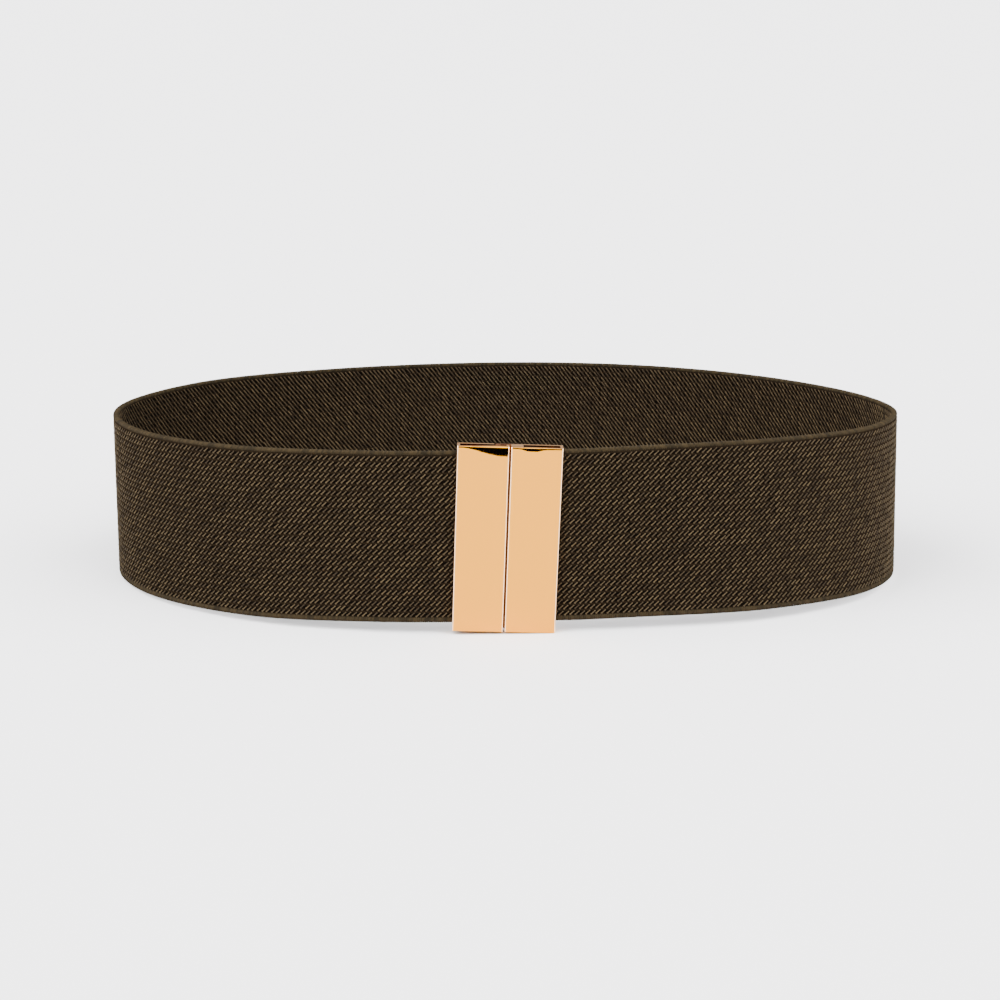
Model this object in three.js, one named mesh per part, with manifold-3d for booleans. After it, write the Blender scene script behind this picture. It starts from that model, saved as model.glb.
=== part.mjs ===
// Elastic stretch belt, fastened and standing on its lower edge as a rounded D.
// Millimetres, +Z up.
// The clasp faces -Y, and +X is to the right of someone who looks at the clasp.
import * as THREE from 'three';
import { mergeVertices } from 'three/addons/utils/BufferGeometryUtils.js';
import Module from 'manifold-3d';

const wasm = await Module();
wasm.setup();

// Elastic webbing
const bandWidth = 60;
const bandThickness = 1.8;
const edgeRounding = 0.5;
const loopHalfWidth = 141.1;
const loopHalfDepth = 72.4;
const topInset = 1.9;

// The middle of the webbing seen from above, from the clasp's right side round the back to its left side.
// across is a share of loopHalfWidth, and deep is a share of loopHalfDepth. lift is how high the lower edge
// stands above the floor, as a share of its height at the clasp.
const loopPlan = [
  { across: 0.321, deep: -0.968, lift: 1.1 },
  { across: 0.651, deep: -0.852, lift: 1.02 },
  { across: 0.904, deep: -0.573, lift: 0.64 },
  { across: 0.998, deep: -0.244, lift: 0.41 },
  { across: 0.952, deep: 0.129, lift: 0.19 },
  { across: 0.739, deep: 0.579, lift: 0.02 },
  { across: 0.413, deep: 0.887, lift: 0 },
  { across: 0.006, deep: 1, lift: 0 },
  { across: -0.465, deep: 0.887, lift: 0 },
  { across: -0.812, deep: 0.614, lift: 0.03 },
  { across: -0.981, deep: 0.2, lift: 0.08 },
  { across: -0.992, deep: -0.117, lift: 0.14 },
  { across: -0.885, deep: -0.465, lift: 0.23 },
  { across: -0.626, deep: -0.8, lift: 0.51 },
  { across: -0.307, deep: -0.974, lift: 0.92 },
];

// Clasp, folded from metal strip. Its two halves are equally wide.
const halfWidth = 17.05;
const stripThickness = 0.9;
const bendRadius = 1.3;
const seamGap = 0.6;
const marginAbove = 1.4;
const marginBelow = 3.1;
const faceRollDepth = 0.45;
const faceRollHeight = 1.8;

// The hook half's solid side and the rolled bead that catches behind the other half
const blockWidth = 4.1;
const beadDiameter = 1.7;
const hookReach = 4;

// Gaps between pieces: webbing to the sleeve's plates, edges to the slot's ends, piece to piece
const sleeveRoom = 0.5;
const clearance = 0.3;
const endGap = 0.6;

// How the clasp sits in the loop: its place in the plan, turned about the vertical, and leaning to its right
const claspPlace = { across: 0.01, deep: -0.994 };
const claspTurn = THREE.MathUtils.degToRad(1.1);
const claspLean = THREE.MathUtils.degToRad(2.5);

// The webbing runs on straight past the clasp for a little. Further along, its top edge stands topInset further
// in than its lower edge.
const leadLength = 4;
const insetLength = 60;

const bandSteps = 120;
const roundSteps = 5;

// Sizes that follow from the ones above
const claspDepth = bandThickness + 2 * (sleeveRoom + stripThickness);
const claspHalfSpan = seamGap / 2 + halfWidth;
const claspBottom = -(bandWidth / 2 + marginBelow);
const claspTop = bandWidth / 2 + marginAbove;
const claspCentreHeight = -claspBottom * Math.cos(claspLean) + claspHalfSpan * Math.sin(claspLean);
const claspCentre = new THREE.Vector3(
  claspPlace.across * loopHalfWidth, claspPlace.deep * loopHalfDepth, claspCentreHeight,
);
// The webbing is level where it passes through the leaning clasp.
const claspLift = claspCentreHeight - bandWidth / 2;

// The clasp's own axes: u to its right, v to its back and w up, with w = 0 at the middle of the webbing
const claspFrame = new THREE.Matrix4()
  .makeTranslation(claspCentre.x, claspCentre.y, claspCentre.z)
  .multiply(new THREE.Matrix4().makeRotationZ(claspTurn))
  .multiply(new THREE.Matrix4().makeRotationY(claspLean));

function inClasp(u, v, w) {
  return new THREE.Vector3(u, v, w).applyMatrix4(claspFrame);
}

function toManifold(geometry) {
  const bare = geometry.index ? geometry.toNonIndexed() : geometry.clone();
  bare.deleteAttribute('normal');
  bare.deleteAttribute('uv');
  const merged = mergeVertices(bare, 1e-5);
  return new wasm.Manifold(
    new wasm.Mesh({
      numProp: 3,
      vertProperties: new Float32Array(merged.attributes.position.array),
      triVerts: new Uint32Array(merged.index.array),
    }),
  );
}

function toGeometry(manifold) {
  const mesh = manifold.getMesh();
  const geometry = new THREE.BufferGeometry();
  geometry.setAttribute('position', new THREE.BufferAttribute(new Float32Array(mesh.vertProperties), 3));
  geometry.setIndex(new THREE.BufferAttribute(new Uint32Array(mesh.triVerts), 1));
  return geometry;
}

// A box between two corners in the clasp's axes
function box(u0, u1, v0, v1, w0, w1) {
  const geometry = new THREE.BoxGeometry(u1 - u0, v1 - v0, w1 - w0);
  geometry.translate((u0 + u1) / 2, (v0 + v1) / 2, (w0 + w1) / 2);
  return toManifold(geometry);
}

function roundedRectangle(target, u0, u1, v0, v1, radius) {
  const r = Math.max(radius, 0.05);
  target.moveTo(u0 + r, v0);
  target.lineTo(u1 - r, v0);
  target.absarc(u1 - r, v0 + r, r, -Math.PI / 2, 0);
  target.lineTo(u1, v1 - r);
  target.absarc(u1 - r, v1 - r, r, 0, Math.PI / 2);
  target.lineTo(u0 + r, v1);
  target.absarc(u0 + r, v1 - r, r, Math.PI / 2, Math.PI);
  target.lineTo(u0, v0 + r);
  target.absarc(u0 + r, v0 + r, r, Math.PI, 1.5 * Math.PI);
  return target;
}

// The folded strip: a flat tube, open at the top and the bottom
function sleeve(u0, u1) {
  const d = claspDepth / 2;
  const t = stripThickness;
  const shape = roundedRectangle(new THREE.Shape(), u0, u1, -d, d, bendRadius);
  shape.holes.push(roundedRectangle(new THREE.Path(), u0 + t, u1 - t, -d + t, d - t, bendRadius - t));
  const geometry = new THREE.ExtrudeGeometry(shape, {
    depth: claspTop - claspBottom,
    bevelEnabled: false,
    curveSegments: roundSteps,
  });
  geometry.translate(0, 0, claspBottom);
  return toManifold(geometry);
}

// What the webbing passes through in a sleeve's outer side, at the webbing's level there
function webbingSlot(uOuter) {
  const reach = bendRadius + stripThickness;
  const half = bandThickness / 2 + clearance;
  const level = uOuter * Math.sin(claspLean);
  const end = bandWidth / 2 + clearance;
  return box(uOuter - reach, uOuter + reach, -half, half, level - end, level + end);
}

// The clasp's envelope, whose front face rolls back a little at the top and the bottom
function rolledEnvelope() {
  const d = claspDepth / 2;
  const shape = new THREE.Shape();
  shape.moveTo(d, claspBottom);
  shape.lineTo(d, claspTop);
  shape.lineTo(-d + faceRollDepth, claspTop);
  shape.absellipse(
    -d + faceRollDepth, claspTop - faceRollHeight, faceRollDepth, faceRollHeight, Math.PI / 2, Math.PI,
  );
  shape.lineTo(-d, claspBottom + faceRollHeight);
  shape.absellipse(
    -d + faceRollDepth, claspBottom + faceRollHeight, faceRollDepth, faceRollHeight, Math.PI, 1.5 * Math.PI,
  );
  const span = 2 * claspHalfSpan + hookReach;
  const geometry = new THREE.ExtrudeGeometry(shape, {
    depth: span,
    bevelEnabled: false,
    curveSegments: roundSteps,
  });
  // The shape is drawn in (v, w) and pulled along u.
  geometry.applyMatrix4(new THREE.Matrix4().set(0, 0, 1, -span / 2, 1, 0, 0, 0, 0, 1, 0, 0, 0, 0, 0, 1));
  return toManifold(geometry);
}

// Left half: the sleeve, opened behind its seam side so that the other half's bead drops in
function catchHalf() {
  const seamFace = -seamGap / 2;
  const returnEnd = claspDepth / 2 - stripThickness - clearance;
  const backPlateEnd = -(hookReach + beadDiameter / 2 + clearance);
  const mouth = box(backPlateEnd, seamFace + 1, returnEnd, claspDepth, claspBottom - 1, claspTop + 1);
  return sleeve(-claspHalfSpan, seamFace)
    .subtract(mouth)
    .subtract(webbingSlot(-claspHalfSpan))
    .intersect(rolledEnvelope());
}

// Right half: the sleeve with a solid seam side, and the tongue and bead that hook behind the left half
function hookHalf() {
  const seamFace = seamGap / 2;
  const back = claspDepth / 2;
  const inset = stripThickness / 2;
  const block = box(seamFace + inset, seamFace + blockWidth, -back + inset, back - inset, claspBottom, claspTop);
  const tongue = box(-hookReach, seamFace + 2 * bendRadius, back - stripThickness, back, claspBottom, claspTop);
  const beadGeometry = new THREE.CylinderGeometry(
    beadDiameter / 2, beadDiameter / 2, claspTop - claspBottom, 4 * roundSteps,
  );
  beadGeometry.rotateX(Math.PI / 2);
  beadGeometry.translate(-hookReach, back - beadDiameter / 2, (claspTop + claspBottom) / 2);
  return sleeve(seamFace, claspHalfSpan)
    .add(block)
    .add(tongue)
    .add(toManifold(beadGeometry))
    .subtract(webbingSlot(claspHalfSpan))
    .intersect(rolledEnvelope());
}

// The middle line of the webbing's lower edge, straight and level through each slot
function bandPath() {
  const leanShift = (bandWidth / 2) * Math.sin(claspLean);
  const mouth = claspHalfSpan + leanShift;
  const hookEnd = seamGap / 2 + blockWidth + leanShift + endGap;
  const catchEnd = hookReach + beadDiameter / 2 + leanShift + endGap;
  const level = (u) => inClasp(u, 0, 0).setZ(claspLift);
  const along = ({ across, deep, lift }) =>
    new THREE.Vector3(across * loopHalfWidth, deep * loopHalfDepth, lift * claspLift);
  const points = [
    level(hookEnd),
    level(mouth),
    level(mouth + leadLength),
    ...loopPlan.map(along),
    level(-mouth - leadLength),
    level(-mouth),
    level(-catchEnd),
  ];
  return new THREE.CatmullRomCurve3(points, false, 'centripetal');
}

// The webbing's section in (outward, up from its lower edge), with its corners taken off
function bandSection() {
  const t = bandThickness / 2;
  const w = bandWidth;
  const c = Math.min(edgeRounding, 0.8 * t);
  return [
    [-t, c], [-t + c, 0], [t - c, 0], [t, c],
    [t, w - c], [t - c, w], [-t + c, w], [-t, w - c],
  ];
}

function bandGeometry() {
  const curve = bandPath();
  curve.arcLengthDivisions = 8 * bandSteps;
  const length = curve.getLength();
  const straight = claspHalfSpan + leadLength;
  const section = bandSection();
  const positions = [];
  for (let i = 0; i <= bandSteps; i += 1) {
    const point = curve.getPointAt(i / bandSteps);
    const heading = curve.getTangentAt(i / bandSteps).setZ(0).normalize();
    const outward = new THREE.Vector3(heading.y, -heading.x, 0);
    const fromClasp = (Math.min(i, bandSteps - i) / bandSteps) * length;
    const inset = topInset * THREE.MathUtils.smoothstep(fromClasp, straight, straight + insetLength);
    const foot = Math.max(point.z, 0);
    for (const [out, high] of section) {
      const corner = point.clone().addScaledVector(outward, out - inset * (high / bandWidth - 0.5));
      positions.push(corner.x, corner.y, foot + high);
    }
  }
  const count = section.length;
  const faces = [];
  for (let i = 0; i < bandSteps; i += 1) {
    for (let j = 0; j < count; j += 1) {
      const a = i * count + j;
      const b = i * count + ((j + 1) % count);
      faces.push(a, a + count, b, b, a + count, b + count);
    }
  }
  const last = bandSteps * count;
  for (let j = 1; j < count - 1; j += 1) {
    faces.push(0, j, j + 1);
    faces.push(last, last + j + 1, last + j);
  }
  const geometry = new THREE.BufferGeometry();
  geometry.setAttribute('position', new THREE.Float32BufferAttribute(positions, 3));
  geometry.setIndex(faces);
  return geometry;
}

function named(name, geometry, material) {
  geometry.computeVertexNormals();
  const mesh = new THREE.Mesh(geometry, material);
  mesh.name = name;
  return mesh;
}

const webbing = new THREE.MeshStandardMaterial({ color: '#4a3b28', roughness: 0.9, metalness: 0 });
const roseGold = new THREE.MeshStandardMaterial({ color: '#dcb083', roughness: 0.12, metalness: 1 });

const clasp = new THREE.Group();
clasp.applyMatrix4(claspFrame);
clasp.add(named('clasp_catch_half', toGeometry(catchHalf()), roseGold));
clasp.add(named('clasp_hook_half', toGeometry(hookHalf()), roseGold));

const belt = new THREE.Group();
belt.add(named('elastic_band', bandGeometry(), webbing));
belt.add(clasp);

// The origin is on the floor, under the middle of the belt's box.
const bounds = new THREE.Box3().setFromObject(belt, true);
const middle = bounds.getCenter(new THREE.Vector3());
belt.position.set(-middle.x, -middle.y, 0);

export default belt;
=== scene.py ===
# Elastic stretch belt, fastened and standing on its lower edge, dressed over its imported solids.
# Named sizes are in millimetres, Blender's own lengths are in metres, and +Z is up.
import math

import bmesh
import bpy
import numpy as np
from mathutils import Matrix, Vector


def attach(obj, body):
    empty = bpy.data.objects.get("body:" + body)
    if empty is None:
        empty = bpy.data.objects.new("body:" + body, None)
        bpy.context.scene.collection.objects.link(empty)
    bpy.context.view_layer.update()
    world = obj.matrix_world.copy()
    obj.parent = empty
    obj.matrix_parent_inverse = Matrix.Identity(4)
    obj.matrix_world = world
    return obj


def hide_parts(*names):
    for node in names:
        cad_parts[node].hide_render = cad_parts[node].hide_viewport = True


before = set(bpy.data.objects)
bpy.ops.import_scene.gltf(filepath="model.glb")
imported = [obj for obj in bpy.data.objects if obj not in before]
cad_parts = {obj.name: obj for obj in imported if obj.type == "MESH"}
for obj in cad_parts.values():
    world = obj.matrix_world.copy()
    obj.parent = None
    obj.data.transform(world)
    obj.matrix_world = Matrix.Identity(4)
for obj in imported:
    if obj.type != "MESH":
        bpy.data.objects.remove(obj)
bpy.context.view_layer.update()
MM = 0.001
# Millimetres within which two places count as the same
NEAR = 0.01

# Camera
# It looks at the clasp from a little above, from about two thirds of a metre, and is turned by half a degree
# because the picture hangs that much off level.
CAMERA_PLACE = (-0.78, -652.16, 227.54)
CAMERA_DOWN = 17.31
CAMERA_ROLL = -0.554
LENS = 66.29
SENSOR = 36
NEAREST = 0.01
FARTHEST = 100

camera_data = bpy.data.cameras.new("camera")
camera_data.lens = LENS
camera_data.sensor_width = SENSOR
camera_data.clip_start = NEAREST
camera_data.clip_end = FARTHEST
camera = bpy.data.objects.new("camera", camera_data)
camera.matrix_world = (
    Matrix.Translation(Vector(CAMERA_PLACE) * MM)
    @ Matrix.Rotation(math.radians(90 - CAMERA_DOWN), 4, "X")
    @ Matrix.Rotation(math.radians(CAMERA_ROLL), 4, "Z")
)
bpy.context.scene.collection.objects.link(camera)
bpy.context.scene.camera = camera

# Floor
# A wide sheet of matt, nearly white background paper. It runs so far back that its end lies above the view.
FLOOR_RADIUS = 9000
FLOOR_SIDES = 96
PAPER = "#f1f0f1"


def linear(hex_colour):
    """An sRGB hex colour as Blender's linear red, green, blue and alpha."""
    shares = [int(hex_colour[i:i + 2], 16) / 255 for i in (1, 3, 5)]
    return [s / 12.92 if s <= 0.04045 else ((s + 0.055) / 1.055) ** 2.4 for s in shares] + [1.0]


def new_material(name, values):
    """A material with its Principled shader set to some values."""
    material = bpy.data.materials.new(name)
    material.use_nodes = True
    for socket, value in values.items():
        material.node_tree.nodes["Principled BSDF"].inputs[socket].default_value = value
    return material


def add_node(tree, kind, settings=None, values=None, links=None):
    """A node of a kind, with its settings, its sockets' values and the sockets that feed its own."""
    node = tree.nodes.new(kind)
    for name, value in (settings or {}).items():
        setattr(node, name, value)
    for socket, value in (values or {}).items():
        node.inputs[socket].default_value = value
    for socket, source in (links or {}).items():
        tree.links.new(source, node.inputs[socket])
    return node


def new_object(name, shape, material):
    """An object at the origin, made of a bmesh that already stands in its place."""
    mesh = bpy.data.meshes.new(name)
    shape.to_mesh(mesh)
    shape.free()
    mesh.materials.append(material)
    piece = bpy.data.objects.new(name, mesh)
    bpy.context.scene.collection.objects.link(piece)
    return piece


paper = new_material("matt background paper", {
    "Base Color": linear(PAPER), "Roughness": 0.85, "Specular IOR Level": 0.2,
})
shape = bmesh.new()
bmesh.ops.create_circle(shape, cap_ends=True, segments=FLOOR_SIDES, radius=FLOOR_RADIUS * MM)
floor = new_object("floor", shape, paper)

# Light
# A pale room with a wide softbox overhead and two more high at the left and the right. The tall panels beside
# the belt are there for the clasp's edges to mirror, and its rolled ends mirror the dark figure behind the
# camera.
ROOM = "#f6f7fa"
ROOM_STRENGTH = 0.95
# turn is how far round a softbox stands in degrees, anticlockwise from behind the belt when seen from above,
# height is its angle over the floor, and spread is how wide it looks from the belt.
SOFTBOXES = (
    {"name": "left softbox", "turn": 108, "height": 42, "spread": 55, "strength": 8},
    {"name": "right softbox", "turn": -108, "height": 45, "spread": 55, "strength": 5.8},
    {"name": "overhead softbox", "turn": 180, "height": 73, "spread": 45, "strength": 3.3},
)
SIDES = {"reach": 900, "forward": -380, "height": 400, "size": (800, 1100), "watts": 30}
DARK_FIGURE = {"width": 900, "height": 900, "away": 1300}
BLACK_CLOTH = "#060606"

room = bpy.data.worlds.new("room")
room.use_nodes = True
room.node_tree.nodes["Background"].inputs["Color"].default_value = linear(ROOM)
room.node_tree.nodes["Background"].inputs["Strength"].default_value = ROOM_STRENGTH
bpy.context.scene.world = room

for row in SOFTBOXES:
    softbox = bpy.data.lights.new(row["name"], "SUN")
    softbox.energy = row["strength"]
    softbox.angle = math.radians(row["spread"])
    lamp = bpy.data.objects.new(row["name"], softbox)
    lamp.rotation_euler = (math.radians(row["height"] - 90), 0, math.radians(row["turn"]))
    bpy.context.scene.collection.objects.link(lamp)

for side, name in ((-1, "left panel"), (1, "right panel")):
    panel = bpy.data.lights.new(name, "AREA")
    panel.shape = "RECTANGLE"
    panel.size = SIDES["size"][0] * MM
    panel.size_y = SIDES["size"][1] * MM
    panel.energy = SIDES["watts"]
    lamp = bpy.data.objects.new(name, panel)
    lamp.location = Vector((side * SIDES["reach"], SIDES["forward"], SIDES["height"])) * MM
    lamp.rotation_euler = (-lamp.location).to_track_quat("-Z", "Y").to_euler()
    lamp.visible_diffuse = False
    bpy.context.scene.collection.objects.link(lamp)

figure_cloth = new_material("matt black cloth", {
    "Base Color": linear(BLACK_CLOTH), "Roughness": 1, "Specular IOR Level": 0,
})
shape = bmesh.new()
bmesh.ops.create_grid(shape, x_segments=1, y_segments=1, size=0.5)
bmesh.ops.scale(shape, vec=(DARK_FIGURE["width"] * MM, DARK_FIGURE["height"] * MM, 1), verts=shape.verts)
bmesh.ops.rotate(shape, cent=(0, 0, 0), matrix=Matrix.Rotation(math.radians(90), 3, "X"), verts=shape.verts)
bmesh.ops.translate(
    shape, vec=(0, -DARK_FIGURE["away"] * MM, DARK_FIGURE["height"] / 2 * MM), verts=shape.verts
)
dark_figure = new_object("dark figure", shape, figure_cloth)
dark_figure.visible_camera = False
dark_figure.visible_shadow = False
dark_figure.visible_diffuse = False

# Elastic webbing
# One strap of woven elastic, rubber threads inside a polyester weave, bent round into a loop and held at both
# ends by the clasp. This piece is its ground, the flat dark inside of the weave that shows between the yarns.
BAND_WIDTH = 60
LOWER_SELVAGE = 2.1
UPPER_SELVAGE = 1.3
GROUND_THICKNESS = 1.5
GROUND_LAP = 0.3
GROUND_CUTS = 360
# Rows of the weave between the selvages, and the share of a row's height at which its middle lies
ROWS = 28
ROW_MIDDLE = 0.42
LOOP_HALF_WIDTH = 141.1
LOOP_HALF_DEPTH = 72.4
LOOP_CENTRE = Vector((-0.018, 0.178, 0))
# How far the webbing leans in towards its top, over what length it comes to lean so, and how far it first runs
# on straight from the clasp
TOP_INSET = 1.9
INSET_LENGTH = 60
LEAD_LENGTH = 4
ROUTE_STEPS = 60
GROUND_COLOURS = ("#080604", "#1b150e")

# The middle of the webbing from above, from the clasp's right side round the back to its left side. across
# and deep are shares of the loop's half width and half depth, and lift is how high the lower edge stands, as
# a share of its height at the clasp.
LOOP_PLAN = (
    {"across": 0.321, "deep": -0.968, "lift": 1.1},
    {"across": 0.651, "deep": -0.852, "lift": 1.02},
    {"across": 0.904, "deep": -0.573, "lift": 0.64},
    {"across": 0.998, "deep": -0.244, "lift": 0.41},
    {"across": 0.952, "deep": 0.129, "lift": 0.19},
    {"across": 0.739, "deep": 0.579, "lift": 0.02},
    {"across": 0.413, "deep": 0.887, "lift": 0},
    {"across": 0.006, "deep": 1, "lift": 0},
    {"across": -0.465, "deep": 0.887, "lift": 0},
    {"across": -0.812, "deep": 0.614, "lift": 0.03},
    {"across": -0.981, "deep": 0.2, "lift": 0.08},
    {"across": -0.992, "deep": -0.117, "lift": 0.14},
    {"across": -0.885, "deep": -0.465, "lift": 0.23},
    {"across": -0.626, "deep": -0.8, "lift": 0.51},
    {"across": -0.307, "deep": -0.974, "lift": 0.92},
)

# The clasp's sizes that the webbing's ends follow
CLASP_ACROSS = 0.01
CLASP_DEEP = -0.994
CLASP_TURN = math.radians(1.1)
CLASP_LEAN = math.radians(2.5)
PLATE_WIDTH = 17.05
SEAM_GAP = 0.6
MARGIN_ABOVE = 1.4
MARGIN_BELOW = 3.1
BLOCK_WIDTH = 4.1
BEAD_DIAMETER = 1.7
HOOK_REACH = 4
END_GAP = 0.6

row_height = (BAND_WIDTH - LOWER_SELVAGE - UPPER_SELVAGE) / ROWS
first_row = LOWER_SELVAGE + ROW_MIDDLE * row_height
clasp_half_span = SEAM_GAP / 2 + PLATE_WIDTH
clasp_bottom = -(BAND_WIDTH / 2 + MARGIN_BELOW)
clasp_top = BAND_WIDTH / 2 + MARGIN_ABOVE
clasp_height = -clasp_bottom * math.cos(CLASP_LEAN) + clasp_half_span * math.sin(CLASP_LEAN)
clasp_centre = LOOP_CENTRE + Vector(
    (CLASP_ACROSS * LOOP_HALF_WIDTH, CLASP_DEEP * LOOP_HALF_DEPTH, clasp_height)
)
# The clasp's own axes: u to its right, v to its back and w up
clasp_frame = (
    Matrix.Translation(clasp_centre)
    @ Matrix.Rotation(CLASP_TURN, 4, "Z")
    @ Matrix.Rotation(CLASP_LEAN, 4, "Y")
)


def smooth_route(points, steps):
    """Points along a centripetal Catmull-Rom curve through the given ones."""
    guides = [2 * points[0] - points[1]] + points + [2 * points[-1] - points[-2]]
    route = []
    for a, b, c, d in zip(guides, guides[1:], guides[2:], guides[3:]):
        t1 = (b - a).length ** 0.5
        t2 = t1 + (c - b).length ** 0.5
        t3 = t2 + (d - c).length ** 0.5
        for k in range(steps):
            t = t1 + (t2 - t1) * k / steps
            ab = a.lerp(b, t / t1)
            bc = b.lerp(c, (t - t1) / (t2 - t1))
            cd = c.lerp(d, (t - t2) / (t3 - t2))
            abc = ab.lerp(bc, t / t2)
            bcd = bc.lerp(cd, (t - t1) / (t3 - t1))
            route.append(abc.lerp(bcd, (t - t1) / (t2 - t1)))
    return route + [points[-1]]


def webbing_route():
    """The middle line of the webbing's lower edge, level where it runs through the leaning clasp."""
    lift = clasp_height - BAND_WIDTH / 2
    lean_shift = BAND_WIDTH / 2 * math.sin(CLASP_LEAN)
    mouth = clasp_half_span + lean_shift
    hook_end = SEAM_GAP / 2 + BLOCK_WIDTH + lean_shift + END_GAP
    catch_end = HOOK_REACH + BEAD_DIAMETER / 2 + lean_shift + END_GAP

    def level(u):
        place = clasp_frame @ Vector((u, 0, 0))
        return Vector((place.x, place.y, lift))

    right = [level(u) for u in (hook_end, mouth, mouth + LEAD_LENGTH)]
    left = [level(-u) for u in (mouth + LEAD_LENGTH, mouth, catch_end)]
    round_the_back = [
        LOOP_CENTRE
        + Vector((row["across"] * LOOP_HALF_WIDTH, row["deep"] * LOOP_HALF_DEPTH, row["lift"] * lift))
        for row in LOOP_PLAN
    ]
    return smooth_route(right + round_the_back + left, ROUTE_STEPS)


route = np.array([tuple(point) for point in webbing_route()])
stretches = np.linalg.norm(np.diff(route, axis=0), axis=1)
travel = np.concatenate(([0], np.cumsum(stretches)))
webbing_length = travel[-1]
heading = np.gradient(route[:, :2], travel, axis=0)
heading /= np.linalg.norm(heading, axis=1)[:, None]


def bend_round(piece):
    """Bend a flat piece round the loop. Its points are (along, inward, up from the lower edge)."""
    mesh = piece.data
    flat = np.empty(len(mesh.vertices) * 3, np.float32)
    mesh.vertices.foreach_get("co", flat)
    along, inward, up = flat.reshape(-1, 3).T
    x, y, foot = (np.interp(along, travel, route[:, k]) for k in range(3))
    ahead_x, ahead_y = (np.interp(along, travel, heading[:, k]) for k in range(2))
    from_clasp = np.minimum(along, webbing_length - along)
    share = np.clip((from_clasp - clasp_half_span - LEAD_LENGTH) / INSET_LENGTH, 0, 1)
    inset = TOP_INSET * share * share * (3 - 2 * share)
    inward = inward + inset * (up / BAND_WIDTH - 0.5)
    bent = np.column_stack((x - ahead_y * inward, y + ahead_x * inward, np.maximum(foot, 0) + up))
    mesh.vertices.foreach_set("co", (bent * MM).astype(np.float32).ravel())
    mesh.update()


def two_toned(material, share, colours):
    """Colour a material between two hex colours, by the share that a socket gives."""
    tree = material.node_tree
    tone = add_node(tree, "ShaderNodeValToRGB", links={"Fac": share})
    for element, colour in zip(tone.color_ramp.elements, colours):
        element.color = linear(colour)
    tree.links.new(tone.outputs["Color"], tree.nodes["Principled BSDF"].inputs["Base Color"])


ground = new_material("dark polyester weave over rubber", {"Roughness": 0.9, "Specular IOR Level": 0})
# It is lighter in a band between every two rows, where the weft comes up from below.
tree = ground.node_tree
where = add_node(tree, "ShaderNodeTexCoord")
place = add_node(tree, "ShaderNodeSeparateXYZ", links={"Vector": where.outputs["UV"]})
above_row = add_node(
    tree, "ShaderNodeMath", {"operation": "SUBTRACT"}, {1: first_row + row_height / 4},
    {0: place.outputs["Y"]},
)
turns = add_node(
    tree, "ShaderNodeMath", {"operation": "MULTIPLY"}, {1: 2 * math.pi / row_height},
    {0: above_row.outputs["Value"]},
)
band = add_node(tree, "ShaderNodeMath", {"operation": "SINE"}, links={0: turns.outputs["Value"]})
two_toned(ground, band.outputs["Value"], GROUND_COLOURS)

shape = bmesh.new()
bmesh.ops.create_cube(shape, size=1)
bmesh.ops.translate(shape, vec=(0.5, 0, 0.5), verts=shape.verts)
ground_height = BAND_WIDTH - LOWER_SELVAGE - UPPER_SELVAGE + 2 * GROUND_LAP
bmesh.ops.scale(shape, vec=(webbing_length, GROUND_THICKNESS, ground_height), verts=shape.verts)
bmesh.ops.translate(shape, vec=(0, 0, LOWER_SELVAGE - GROUND_LAP), verts=shape.verts)
lengthwise = [e for e in shape.edges if abs(e.verts[0].co.x - e.verts[1].co.x) > NEAR]
bmesh.ops.subdivide_edges(shape, edges=lengthwise, cuts=GROUND_CUTS, use_grid_fill=True)
flat_map = shape.loops.layers.uv.new("flat webbing in millimetres")
for face in shape.faces:
    for loop in face.loops:
        loop[flat_map].uv = (loop.vert.co.x, loop.vert.co.z)
webbing = new_object("webbing_ground", shape, ground)
bend_round(webbing)
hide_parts("elastic_band")
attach(webbing, "root")

# Selvages
# The webbing's two woven edges, where each weft turns round the outermost cords and goes back. They are
# fuller than the ground, squarish and finely ribbed.
SELVAGE_THICKNESS = 1.9
SELVAGE_PITCH = 0.63
SELVAGE_RELIEF = 0.12
SELVAGE_STEPS = 3
SELVAGE_SIDES = 8
# The section's slanting corners stand out by this much, which makes it squarer.
SELVAGE_CORNERS = 1.15
SELVAGE_SEED = 3
SELVAGE_COLOURS = ("#1a150c", "#2f2617")

selvage_yarn = new_material("tightly woven polyester selvage", {
    "Roughness": 0.8, "Specular IOR Level": 0.05,
})
shade = add_node(selvage_yarn.node_tree, "ShaderNodeAttribute", {"attribute_name": "shade"})
two_toned(selvage_yarn, shade.outputs["Fac"], SELVAGE_COLOURS)

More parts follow.
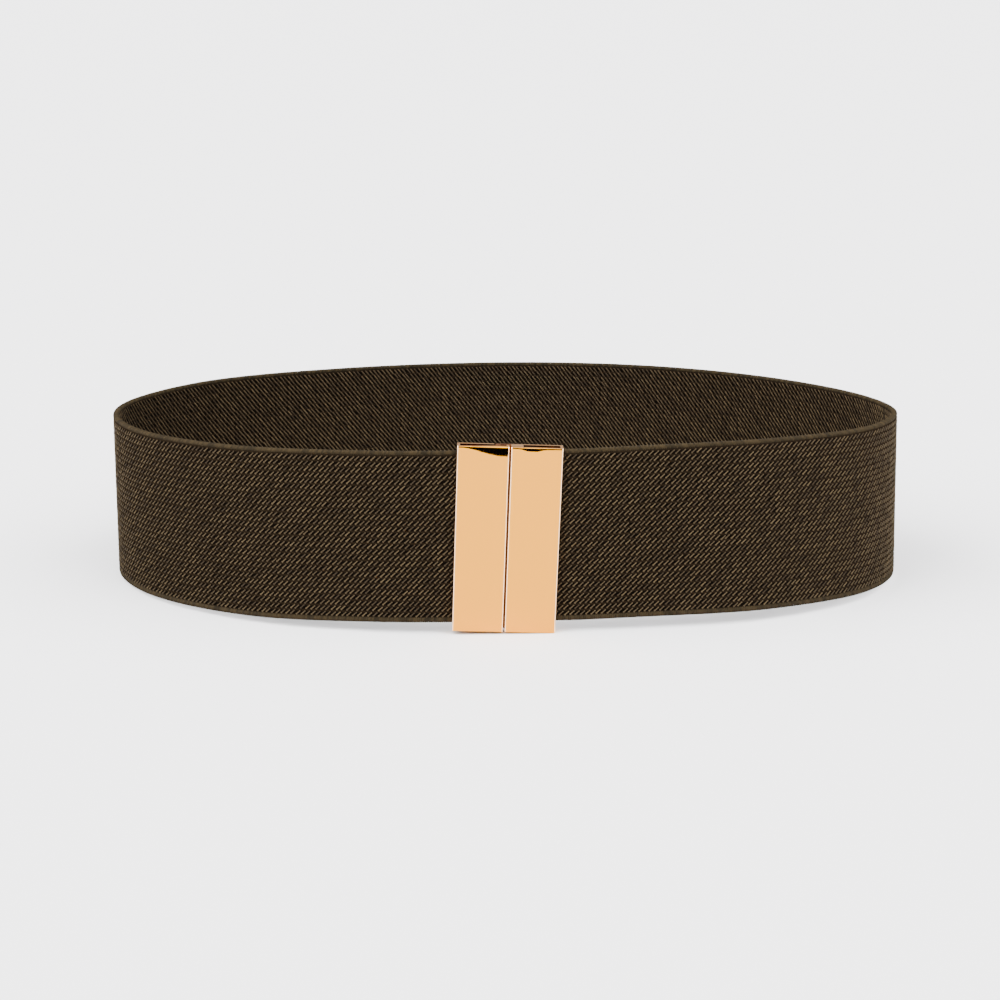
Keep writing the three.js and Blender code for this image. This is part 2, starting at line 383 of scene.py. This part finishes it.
for name, middle, height in (
    ("selvage_lower", LOWER_SELVAGE / 2 + SELVAGE_RELIEF, LOWER_SELVAGE),
    ("selvage_upper", BAND_WIDTH - UPPER_SELVAGE / 2, UPPER_SELVAGE),
):
    shape = bmesh.new()
    bmesh.ops.create_cone(
        shape, cap_ends=True, segments=SELVAGE_SIDES, radius1=0.5, radius2=0.5, depth=1,
        matrix=Matrix.Rotation(math.radians(90), 4, "Y"),
    )
    bmesh.ops.translate(shape, vec=(0.5, 0, 0), verts=shape.verts)
    bmesh.ops.scale(shape, vec=(webbing_length, SELVAGE_THICKNESS, height), verts=shape.verts)
    lengthwise = [e for e in shape.edges if abs(e.verts[0].co.x - e.verts[1].co.x) > NEAR]
    cuts = round(webbing_length / SELVAGE_PITCH * SELVAGE_STEPS)
    bmesh.ops.subdivide_edges(shape, edges=lengthwise, cuts=cuts, use_grid_fill=True)
    ribs = []
    for vert in shape.verts:
        turn = 2 * math.pi * vert.co.x / SELVAGE_PITCH + math.atan2(vert.co.z, vert.co.y)
        ribs.append(round(turn / 2 / math.pi))
        swell = 1 + SELVAGE_RELIEF * math.sin(turn)
        if min(abs(vert.co.y), abs(vert.co.z)) > NEAR:
            swell *= SELVAGE_CORNERS
        vert.co.y *= swell
        vert.co.z = middle + vert.co.z * swell
    rib_shades = np.random.default_rng(SELVAGE_SEED).uniform(0, 1, max(ribs) + 2)
    selvage = new_object(name, shape, selvage_yarn)
    shades = rib_shades[np.array(ribs)].astype(np.float32)
    selvage.data.attributes.new("shade", "FLOAT", "POINT").data.foreach_set("value", shades)
    selvage.data.shade_smooth()
    bend_round(selvage)
    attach(selvage, "root")

# Face yarns
# The outer face's raised pattern: thick khaki yarns float over the ground one short slanting dash at a time,
# in level rows that stand almost straight above each other. Each float is a soft twisted thread, so it
# swells in lobes.
CELL_ALONG = 1.8
ROW_SKEW = math.tan(math.radians(2.9))
FLOAT_LENGTH = 2.4
FLOAT_ANGLE = math.radians(42)
FLOAT_RADIUS = 0.34
FLOAT_RISE = 0.1
FLOAT_SIDES = 5
# Stations along a float: at, a share of its half length, and swell, a share of its radius
FLOAT_LOBES = (
    {"at": -1, "swell": 0},
    {"at": -0.7, "swell": 1.4},
    {"at": -0.34, "swell": 0.75},
    {"at": 0, "swell": 0.85},
    {"at": 0.38, "swell": 0.55},
    {"at": 0.74, "swell": 0.85},
    {"at": 1, "swell": 0},
)
YARN_COLOURS = ("#2a2218", "#443928")
FACE_PIECES = ("face_yarns_right", "face_yarns_back", "face_yarns_left")
# How far from the webbing's ends, inside the clasp, its floats begin
HIDDEN_IN_CLASP = 5
# How far floats stray from their places, as (along, inward, up), and how much their shades differ
STRAY = (0.08, 0.02, 0.07)
SHADE_SPREAD = 0.25
SEED = 7

yarn = new_material("twisted khaki polyester yarn", {"Roughness": 0.75, "Specular IOR Level": 0.05})
shade = add_node(yarn.node_tree, "ShaderNodeAttribute", {"attribute_name": "shade"})
two_toned(yarn, shade.outputs["Fac"], YARN_COLOURS)


def yarn_float(lobes, around, length, radius, angle, rise):
    """One raised yarn float in the flat webbing's axes, its middle at the origin, slanting up at an angle."""
    shape = bmesh.new()
    bmesh.ops.create_uvsphere(
        shape, u_segments=around, v_segments=len(lobes) - 1, radius=1,
        matrix=Matrix.Rotation(math.radians(90), 4, "Y"),
    )
    levels = sorted({round(vert.co.x, 4) for vert in shape.verts})
    for vert in shape.verts:
        row = lobes[levels.index(round(vert.co.x, 4))]
        away = Vector((0, vert.co.y, vert.co.z))
        if away.length > NEAR:
            away = away.normalized() * radius * row["swell"]
        vert.co = Vector((row["at"] * length / 2, away.y - rise * row["at"], away.z))
    bmesh.ops.rotate(shape, cent=(0, 0, 0), matrix=Matrix.Rotation(-angle, 3, "Y"), verts=shape.verts)
    return shape


def field_of_floats(name, one_float, start, columns, cell_along, face, seed):
    """Rows and columns of a float, a little uneven as weaving is, on one face of the webbing."""
    bmesh.ops.translate(one_float, vec=(start, face, first_row), verts=one_float.verts)
    points = len(one_float.verts)
    field = new_object(name, one_float, yarn)
    for count, offset in (
        (ROWS, (-ROW_SKEW * row_height, 0, row_height)),
        (columns, (cell_along, 0, 0)),
    ):
        array = field.modifiers.new("array", "ARRAY")
        array.count = count
        array.use_relative_offset = False
        array.use_constant_offset = True
        array.constant_offset_displace = offset
    woven = bpy.data.meshes.new_from_object(field.evaluated_get(bpy.context.evaluated_depsgraph_get()))
    field.modifiers.clear()
    field.data = woven
    woven.name = name
    rng = np.random.default_rng(seed)
    copies = columns * ROWS
    flat = np.empty(copies * points * 3, np.float32)
    woven.vertices.foreach_get("co", flat)
    jitter = rng.normal(0, 1, (copies, 1, 3)) * STRAY
    flat = flat.reshape(copies, points, 3) + jitter
    woven.vertices.foreach_set("co", flat.astype(np.float32).ravel())
    shades = np.repeat(np.clip(rng.normal(0.5, SHADE_SPREAD, copies), 0, 1), points)
    woven.attributes.new("shade", "FLOAT", "POINT").data.foreach_set("value", shades.astype(np.float32))
    woven.shade_smooth()
    bend_round(field)
    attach(field, "root")
    return field


def weave_face(names, lobes, around, size, cell_along, face, seed):
    """One face's floats, in equally long pieces. size is a float's length, radius, angle and rise."""
    first = HIDDEN_IN_CLASP + ROW_SKEW * BAND_WIDTH
    columns = math.ceil((webbing_length - HIDDEN_IN_CLASP - first) / cell_along / len(names))
    return [
        field_of_floats(
            name, yarn_float(lobes, around, *size), first + number * columns * cell_along, columns,
            cell_along, face, seed + number,
        )
        for number, name in enumerate(names)
    ]


face_yarns = weave_face(
    FACE_PIECES, FLOAT_LOBES, FLOAT_SIDES, (FLOAT_LENGTH, FLOAT_RADIUS, FLOAT_ANGLE, FLOAT_RISE),
    CELL_ALONG, -GROUND_THICKNESS / 2, SEED,
)

# Inner yarns
# The same yarns on the inner face float further and closer together, so each dash nearly meets the next and
# they read as slanting lines.
INNER_CELL_ALONG = 1.65
INNER_LENGTH = 2.8
INNER_ANGLE = math.radians(50.5)
INNER_RADIUS = 0.28
INNER_SIDES = 4
INNER_LOBES = (
    {"at": -1, "swell": 0},
    {"at": -0.7, "swell": 0.95},
    {"at": 0, "swell": 1},
    {"at": 0.7, "swell": 0.95},
    {"at": 1, "swell": 0},
)
INNER_PIECES = ("inner_yarns_right", "inner_yarns_left")

inner_yarns = weave_face(
    INNER_PIECES, INNER_LOBES, INNER_SIDES, (INNER_LENGTH, INNER_RADIUS, INNER_ANGLE, 0),
    INNER_CELL_ALONG, GROUND_THICKNESS / 2, SEED + len(FACE_PIECES),
)

# Clasp, catch half
# The left half: brass strip, stamped with a window for the webbing, folded into a flat sleeve, polished and
# plated rose gold. Its seam side turns in and stops short of the back, which is open there for the hook.
STRIP_THICKNESS = 0.9
SLEEVE_ROOM = 0.5
BAND_THICKNESS = 1.8
CLEARANCE = 0.3
PLATE_STEPS = 24
ROW_SPACES = 12
# Outer corners that turn further than CORNER_ANGLE are rounded, in a paler metal of their own: a painted
# highlight along the edges. What still turns further than CREASE_ANGLE is shaded sharp.
EDGE_ROUNDING = 0.34
EDGE_STEPS = 4
EDGE_MATERIAL = 1
CORNER_ANGLE = math.radians(85)
CREASE_ANGLE = math.radians(40)
# How far in from each end of a plate its rows of faces start, close together where it rolls
ROLL_ROWS = (0, 0.1, 0.25, 0.45, 0.7, 1, 1.35, 1.75, 2.2, 2.7, 3.2, 3.7, 4.2, 4.8, 5.5, 6.2)
# The front plates' top edges roll back, at a share of the plate's width from its left, over a height in
# millimetres. ROLL_SLOPE is how far they go back for that height.
CATCH_ROLL = (
    {"at": 0, "height": 0.8},
    {"at": 0.15, "height": 0.9},
    {"at": 0.35, "height": 2.2},
    {"at": 0.56, "height": 4.6},
    {"at": 0.8, "height": 6},
    {"at": 1, "height": 6},
)
ROLL_SLOPE = 0.2
BOTTOM_ROLL = 1
ROSE_GOLD = "#d48d22"
# The pale gold below is a painted highlight along the clasp's rounded edges, not the plating's own colour.
EDGE_HIGHLIGHT_GOLD = "#f9cfa6"

clasp_depth = BAND_THICKNESS + 2 * (SLEEVE_ROOM + STRIP_THICKNESS)
outer_v = clasp_depth / 2
inner_v = outer_v - STRIP_THICKNESS
# The windows' half depth and half height, and the height at which the webbing crosses the left side
slot_v = BAND_THICKNESS / 2 + CLEARANCE
slot_end = BAND_WIDTH / 2 + CLEARANCE
slot_level = -clasp_half_span * math.sin(CLASP_LEAN)

# The rounded edges' pale metal is a painted highlight.
edge_highlight_metal = new_material("rose-gold plating with a painted highlight along the edges", {
    "Base Color": linear(EDGE_HIGHLIGHT_GOLD), "Metallic": 1, "Roughness": 0.12,
})
metal = new_material("polished rose-gold plated brass", {
    "Base Color": linear(ROSE_GOLD), "Metallic": 1, "Roughness": 0.07,
})
tree = metal.node_tree
where = add_node(tree, "ShaderNodeTexCoord")
ripple = add_node(
    tree, "ShaderNodeTexNoise", values={"Scale": 90, "Detail": 1.5},
    links={"Vector": where.outputs["Object"]},
)
bump = add_node(
    tree, "ShaderNodeBump", values={"Strength": 0.25, "Distance": 0.00004},
    links={"Height": ripple.outputs["Fac"]},
)
tree.links.new(bump.outputs["Normal"], tree.nodes["Principled BSDF"].inputs["Normal"])


def stepped(corners):
    """Points in even steps along the plates, and at the ends of all shorter stretches, as (u, v)."""
    path = [Vector(corners[0])]
    for corner, after in zip(corners, corners[1:]):
        start, end = Vector(corner), Vector(after)
        steps = PLATE_STEPS if (end - start).length > PLATE_WIDTH / 2 else 1
        path += [start.lerp(end, k / steps) for k in range(1, steps + 1)]
    return path


def folded_sleeve(plan, closed, rows, window, thickness, rounding, roll):
    """A folded strip with its outer face on a plan of (u, v) points, pulled up through rows of w.

    window says which faces are cut out, and roll how far a point goes back.
    """
    shape = bmesh.new()
    verts = [shape.verts.new((p.x, p.y, rows[0])) for p in plan]
    ring = list(zip(verts, verts[1:])) + ([(verts[-1], verts[0])] if closed else [])
    edges = [shape.edges.new(pair) for pair in ring]
    for low, high in zip(rows, rows[1:]):
        grown = bmesh.ops.extrude_edge_only(shape, edges=edges)["geom"]
        bmesh.ops.translate(
            shape, vec=(0, 0, high - low), verts=[g for g in grown if isinstance(g, bmesh.types.BMVert)]
        )
        edges = [g for g in grown if isinstance(g, bmesh.types.BMEdge)]
    cut = [face for face in shape.faces if window(face.calc_center_median())]
    bmesh.ops.delete(shape, geom=cut, context="FACES")
    bmesh.ops.recalc_face_normals(shape, faces=shape.faces)
    rearmost = max(shape.faces, key=lambda face: face.calc_center_median().y)
    if rearmost.normal.y < 0:
        bmesh.ops.reverse_faces(shape, faces=shape.faces)
    shape.normal_update()
    bmesh.ops.solidify(shape, geom=shape.faces[:], thickness=thickness)
    corners = [
        edge for edge in shape.edges
        if abs(edge.verts[0].co.z - edge.verts[1].co.z) > NEAR
        and abs(abs(edge.verts[0].co.y) - outer_v) < NEAR
        and abs(edge.calc_face_angle_signed(0)) > CORNER_ANGLE
    ]
    bmesh.ops.bevel(
        shape, geom=corners, offset=rounding, affect="EDGES", segments=EDGE_STEPS, profile=0.5,
        material=EDGE_MATERIAL, clamp_overlap=False,
    )
    for vert in shape.verts:
        vert.co.y += roll(vert.co)
    bmesh.ops.recalc_face_normals(shape, faces=shape.faces)
    return shape


def place_in_clasp(shape):
    """Turn a bmesh from the clasp's own axes, in millimetres, to its place in the belt."""
    bmesh.ops.transform(shape, matrix=Matrix.Scale(MM, 4) @ clasp_frame, verts=shape.verts)


def finish_metal(piece):
    """Shade a folded strip smooth within its plates and roundings, and tie it to the clasp's metal."""
    # The roundings take the pale metal, a painted highlight along the edges.
    piece.data.materials.append(edge_highlight_metal)
    piece.data.shade_smooth()
    piece.data.set_sharp_from_angle(angle=CREASE_ANGLE)
    piece.modifiers.new("flat plates", "WEIGHTED_NORMAL").keep_sharp = True
    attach(piece, "root")


def sleeve_rows(level):
    """Heights of a sleeve's rows, with one at each end of its window, whose middle is at a level."""
    rows = [clasp_bottom + h for h in ROLL_ROWS] + [clasp_top - h for h in ROLL_ROWS]
    rows += [level - slot_end, level + slot_end]
    height = clasp_top - clasp_bottom
    rows += [clasp_bottom + height * k / ROW_SPACES for k in range(2, ROW_SPACES - 1)]
    return sorted(rows)


def webbing_window(side, level):
    """The window that the webbing comes in by: the faces of a side wall at the webbing's level."""
    def window(point):
        beside = abs(point.x - side) < NEAR and abs(point.y) < slot_v
        return beside and abs(point.z - level) < slot_end
    return window


def rolled_face(left, right, rows):
    """How far the front plate between two sides has rolled back at a point."""
    def roll(point):
        if point.y >= 0:
            return 0
        share = (point.x - left) / (right - left)
        height = np.interp(share, [row["at"] for row in rows], [row["height"] for row in rows])
        if point.z < 0:
            height = BOTTOM_ROLL
        from_end = min(clasp_top - point.z, point.z - clasp_bottom)
        q = min(max(1 - from_end / height, 0), 1)
        return ROLL_SLOPE * height * (1 - math.sqrt(1 - q * q)) * min(-point.y / inner_v, 1)
    return roll


catch_wall_end = inner_v - CLEARANCE
side_u = -clasp_half_span
seam_u = -SEAM_GAP / 2
catch_plan = stepped([
    (-(HOOK_REACH + BEAD_DIAMETER / 2 + CLEARANCE), outer_v),
    (side_u, outer_v),
    (side_u, slot_v),
    (side_u, -slot_v),
    (side_u, -outer_v),
    (seam_u, -outer_v),
    (seam_u, catch_wall_end),
])
shape = folded_sleeve(
    catch_plan, False, sleeve_rows(slot_level), webbing_window(side_u, slot_level), STRIP_THICKNESS,
    EDGE_ROUNDING, rolled_face(side_u, 0, CATCH_ROLL),
)
place_in_clasp(shape)
catch_half = new_object("catch_half", shape, metal)
finish_metal(catch_half)
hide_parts("clasp_catch_half")

# Clasp, hook half
# The right half: the same brass strip, folded into a sleeve that is closed all round. Its window for the
# webbing is in its right side.
HOOK_ROLL = (
    {"at": 0, "height": 0.8},
    {"at": 0.2, "height": 0.9},
    {"at": 0.3, "height": 2.2},
    {"at": 0.52, "height": 2.4},
    {"at": 0.64, "height": 1.1},
    {"at": 1, "height": 0.8},
)

hook_plan = stepped([
    (-side_u, outer_v),
    (-side_u, slot_v),
    (-side_u, -slot_v),
    (-side_u, -outer_v),
    (-seam_u, -outer_v),
    (-seam_u, outer_v),
    (-side_u, outer_v),
])[:-1]
shape = folded_sleeve(
    hook_plan, True, sleeve_rows(-slot_level), webbing_window(-side_u, -slot_level), STRIP_THICKNESS,
    EDGE_ROUNDING, rolled_face(0, -side_u, HOOK_ROLL),
)
place_in_clasp(shape)
hook_half = new_object("hook_half", shape, metal)
finish_metal(hook_half)
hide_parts("clasp_hook_half")

# Clasp, hook bar
# A solid brass bar, plated with the rest, that fills the hook half's seam side behind its front plate and
# stiffens it where the tongue pulls.
BAR_RECESS = 0.15
BAR_OVERSHOOT = 0.1
BAR_ROUNDING = 0.25

bar_front = -inner_v + BAR_RECESS
bar_back = inner_v + STRIP_THICKNESS / 2
bar_height = clasp_top - clasp_bottom + BAR_OVERSHOOT
bar_size = (BLOCK_WIDTH - STRIP_THICKNESS / 2, bar_back - bar_front, bar_height)
bar_u = -seam_u + (STRIP_THICKNESS + bar_size[0]) / 2
shape = bmesh.new()
bmesh.ops.create_cube(shape, size=1)
bmesh.ops.scale(shape, vec=bar_size, verts=shape.verts)
bmesh.ops.translate(
    shape, vec=(bar_u, (bar_front + bar_back) / 2, (clasp_top + clasp_bottom) / 2), verts=shape.verts
)
bmesh.ops.bevel(shape, geom=shape.edges[:], offset=BAR_ROUNDING, affect="EDGES", segments=2, profile=0.5)
place_in_clasp(shape)
bar = new_object("hook_bar", shape, metal)
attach(bar, "root")

# Clasp, hook tongue
# A plain strip of brass behind the seam. It reaches from the hook half to behind the catch half, where its
# end is rolled up into the bead that the catch half's turned-in wall holds.
TONGUE_THICKNESS = 0.7
TONGUE_START = 2
CURL_STEPS = 20
CURL_STEP_ANGLE = 16
# The tongue's dark gold is painted shade for the seam gap between the halves, where it shows. Its roughness is
# its unpolished finish.
SEAM_SHADE_GOLD = "#6e4120"

tongue_plan = [Vector((TONGUE_START, outer_v)), Vector((-HOOK_REACH, outer_v))]
for k in range(1, CURL_STEPS + 1):
    angle = math.radians(90 + CURL_STEP_ANGLE * k)
    around_bead = Vector((math.cos(angle), math.sin(angle) - 1)) * BEAD_DIAMETER / 2
    tongue_plan.append(Vector((-HOOK_REACH, outer_v)) + around_bead)
shape = folded_sleeve(
    tongue_plan, False, [clasp_bottom, clasp_top], lambda point: False, TONGUE_THICKNESS,
    EDGE_ROUNDING / 2, lambda point: 0,
)
place_in_clasp(shape)
# Darker than the plating, as painted shade in the seam gap, and rough because it is unpolished.
seam_shade_metal = new_material("unpolished rose-gold plated brass darkened as painted shade", {
    "Base Color": linear(SEAM_SHADE_GOLD), "Metallic": 1, "Roughness": 0.5,
})
tongue = new_object("hook_tongue", shape, seam_shade_metal)
finish_metal(tongue)
